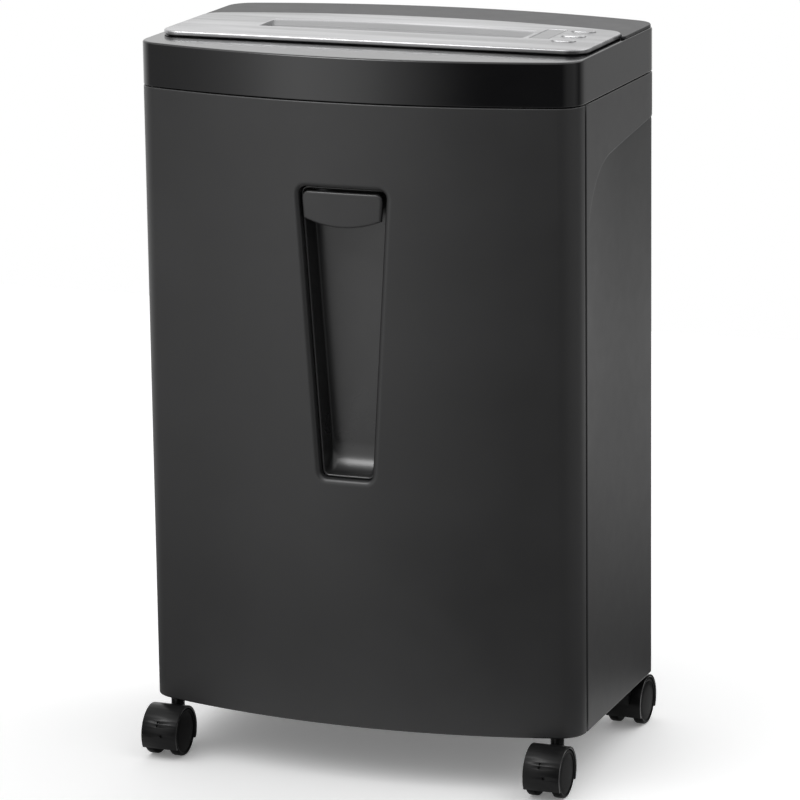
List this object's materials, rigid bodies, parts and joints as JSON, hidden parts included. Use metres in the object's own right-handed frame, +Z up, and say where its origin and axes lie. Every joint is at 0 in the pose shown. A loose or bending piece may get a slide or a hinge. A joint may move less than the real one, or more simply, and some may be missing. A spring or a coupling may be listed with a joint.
{
  "type": "paper shredder",
  "caption": "Upright paper shredder with a bowed black body, silver paper-feed panel, pull-out bin with a tapered finger recess, and twin-wheel casters.",
  "frame": {"origin": "on the floor, under the middle of the whole", "axes": "+Z up, -Y towards the user who faces the bin's front, +X to that user's right"},
  "size_m": [0.37, 0.263, 0.5916],
  "materials": {
    "body_black": "fine textured satin",
    "panel_black": "satin",
    "gloss_black": "high gloss",
    "silver": "satin silver paint",
    "funnel_silver": "satin silver paint",
    "dark_grey": "fine textured",
    "window": "smoked, gloss",
    "cup_black": "satin",
    "tub": "satin",
    "caster_black": "semi gloss",
    "wheel_black": "satin tread",
    "steel_zinc": "bright zinc",
    "steel_plate": "pressed sheet",
    "steel_cutter": "hardened, oiled",
    "steel_gear": "sintered",
    "nylon": "natural nylon",
    "bronze": "sintered bronze",
    "board": "solder mask",
    "motor_can": "plated can",
    "magnet": "ferrite",
    "copper": "enamelled copper windings on a steel core",
    "inner_black": "matte",
    "red": "satin"
  },
  "bodies": {
    "cabinet": {"cabinet_shell": "body_black", "base_plate": "inner_black", "bin_runners": "steel_plate", "caster_stems": "steel_zinc", "head_band": "gloss_black", "head_tray": "inner_black", "rear_top_cover": "dark_grey", "silver_panel": "silver", "throat_guide": "funnel_silver", "indicator_window": "window", "control_board": "board", "main_board": "board", "side_plate_left": "steel_plate", "side_plate_right": "steel_plate", "tie_rods": "steel_zinc", "cutter_bushes": "bronze", "stripper_combs": "inner_black", "gearbox_plate": "steel_plate", "gear_axles": "steel_zinc", "motor_housing": "motor_can", "motor_magnets": "magnet", "mechanism_screws": "steel_zinc", "interlock_switch": "inner_black", "paper_sensor": "inner_black", "cable_gland": "inner_black", "head_screws": "steel_zinc"},
    "bin": {"front_panel": "panel_black", "bin_tub": "tub", "handle_cup": "cup_black", "grip": "panel_black", "bin_screws": "steel_zinc", "interlock_tab": "inner_black"},
    "power_key": {"power_button": "silver"},
    "forward_key": {"forward_button": "silver"},
    "reverse_key": {"reverse_button": "silver"},
    "interlock_pin": {"interlock_plunger": "red"},
    "front_cutter_roll": {"front_cutter": "steel_cutter", "front_cutter_gear": "steel_gear"},
    "rear_cutter_roll": {"rear_cutter": "steel_cutter", "rear_cutter_gear": "steel_gear", "drive_gear": "steel_gear"},
    "first_stage": {"first_stage_gear": "nylon"},
    "second_stage": {"second_stage_gear": "nylon"},
    "motor_rotor": {"motor_armature": "copper", "motor_pinion": "bronze"},
    "caster_front_left": {"caster_hood_front_left": "caster_black"},
    "wheel_front_left_outer_roller": {"wheel_front_left_outer": "wheel_black"},
    "wheel_front_left_inner_roller": {"wheel_front_left_inner": "wheel_black"},
    "caster_front_right": {"caster_hood_front_right": "caster_black"},
    "wheel_front_right_outer_roller": {"wheel_front_right_outer": "wheel_black"},
    "wheel_front_right_inner_roller": {"wheel_front_right_inner": "wheel_black"},
    "caster_rear_left": {"caster_hood_rear_left": "caster_black"},
    "wheel_rear_left_outer_roller": {"wheel_rear_left_outer": "wheel_black"},
    "wheel_rear_left_inner_roller": {"wheel_rear_left_inner": "wheel_black"},
    "caster_rear_right": {"caster_hood_rear_right": "caster_black"},
    "wheel_rear_right_outer_roller": {"wheel_rear_right_outer": "wheel_black"},
    "wheel_rear_right_inner_roller": {"wheel_rear_right_inner": "wheel_black"}
  },
  "joints": [
    {"name": "bin_slide", "type": "slide", "parent": "cabinet", "child": "bin", "axis": [0, -1, 0], "range_m": [0, 0.215]},
    {"name": "power_press", "type": "slide", "parent": "cabinet", "child": "power_key", "axis": [0, 0, -1], "range_m": [0, 0.0008], "stiffness_N_per_m": 1500, "springref_m": -0.0004},
    {"name": "forward_press", "type": "slide", "parent": "cabinet", "child": "forward_key", "axis": [0, 0, -1], "range_m": [0, 0.0008], "stiffness_N_per_m": 1500, "springref_m": -0.0004},
    {"name": "reverse_press", "type": "slide", "parent": "cabinet", "child": "reverse_key", "axis": [0, 0, -1], "range_m": [0, 0.0008], "stiffness_N_per_m": 1500, "springref_m": -0.0004},
    {"name": "interlock_press", "type": "slide", "parent": "cabinet", "child": "interlock_pin", "axis": [0, 1, 0], "range_m": [0, 0.001], "stiffness_N_per_m": 800, "springref_m": -0.0005},
    {"name": "motor_spin", "type": "hinge", "parent": "cabinet", "child": "motor_rotor", "pos_m": [0, 0.06605, 0.52082], "axis": [1, 0, 0], "continuous": true},
    {"name": "first_stage_spin", "type": "hinge", "parent": "cabinet", "child": "first_stage", "pos_m": [0, 0.06521, 0.49684], "axis": [1, 0, 0], "continuous": true},
    {"name": "second_stage_spin", "type": "hinge", "parent": "cabinet", "child": "second_stage", "pos_m": [0, 0.05021, 0.52282], "axis": [1, 0, 0], "continuous": true},
    {"name": "rear_cutter_spin", "type": "hinge", "parent": "cabinet", "child": "rear_cutter_roll", "pos_m": [0, 0.00675, 0.507], "axis": [1, 0, 0], "continuous": true},
    {"name": "front_cutter_spin", "type": "hinge", "parent": "cabinet", "child": "front_cutter_roll", "pos_m": [0, -0.03225, 0.507], "axis": [1, 0, 0], "continuous": true},
    {"name": "caster_front_left_swivel", "type": "hinge", "parent": "cabinet", "child": "caster_front_left", "pos_m": [-0.165, -0.0905, 0.04], "axis": [0, 0, 1], "continuous": true},
    {"name": "wheel_front_left_outer_spin", "type": "hinge", "parent": "caster_front_left", "child": "wheel_front_left_outer_roller", "pos_m": [-0.17575, -0.1095, 0.0195], "axis": [1, 0, 0], "continuous": true},
    {"name": "wheel_front_left_inner_spin", "type": "hinge", "parent": "caster_front_left", "child": "wheel_front_left_inner_roller", "pos_m": [-0.15425, -0.1095, 0.0195], "axis": [1, 0, 0], "continuous": true},
    {"name": "caster_front_right_swivel", "type": "hinge", "parent": "cabinet", "child": "caster_front_right", "pos_m": [0.165, -0.0905, 0.04], "axis": [0, 0, 1], "continuous": true},
    {"name": "wheel_front_right_outer_spin", "type": "hinge", "parent": "caster_front_right", "child": "wheel_front_right_outer_roller", "pos_m": [0.17575, -0.1095, 0.0195], "axis": [1, 0, 0], "continuous": true},
    {"name": "wheel_front_right_inner_spin", "type": "hinge", "parent": "caster_front_right", "child": "wheel_front_right_inner_roller", "pos_m": [0.15425, -0.1095, 0.0195], "axis": [1, 0, 0], "continuous": true},
    {"name": "caster_rear_left_swivel", "type": "hinge", "parent": "cabinet", "child": "caster_rear_left", "pos_m": [-0.165, 0.0755, 0.04], "axis": [0, 0, 1], "continuous": true},
    {"name": "wheel_rear_left_outer_spin", "type": "hinge", "parent": "caster_rear_left", "child": "wheel_rear_left_outer_roller", "pos_m": [-0.17575, 0.0945, 0.0195], "axis": [1, 0, 0], "continuous": true},
    {"name": "wheel_rear_left_inner_spin", "type": "hinge", "parent": "caster_rear_left", "child": "wheel_rear_left_inner_roller", "pos_m": [-0.15425, 0.0945, 0.0195], "axis": [1, 0, 0], "continuous": true},
    {"name": "caster_rear_right_swivel", "type": "hinge", "parent": "cabinet", "child": "caster_rear_right", "pos_m": [0.165, 0.0755, 0.04], "axis": [0, 0, 1], "continuous": true},
    {"name": "wheel_rear_right_outer_spin", "type": "hinge", "parent": "caster_rear_right", "child": "wheel_rear_right_outer_roller", "pos_m": [0.17575, 0.0945, 0.0195], "axis": [1, 0, 0], "continuous": true},
    {"name": "wheel_rear_right_inner_spin", "type": "hinge", "parent": "caster_rear_right", "child": "wheel_rear_right_inner_roller", "pos_m": [0.15425, 0.0945, 0.0195], "axis": [1, 0, 0], "continuous": true}
  ],
  "couplings": [
    {"joint": "first_stage_spin", "follows": "motor_spin", "ratio": -0.25},
    {"joint": "second_stage_spin", "follows": "motor_spin", "ratio": 0.0625},
    {"joint": "rear_cutter_spin", "follows": "motor_spin", "ratio": -0.014583},
    {"joint": "front_cutter_spin", "follows": "motor_spin", "ratio": 0.014583}
  ]
}
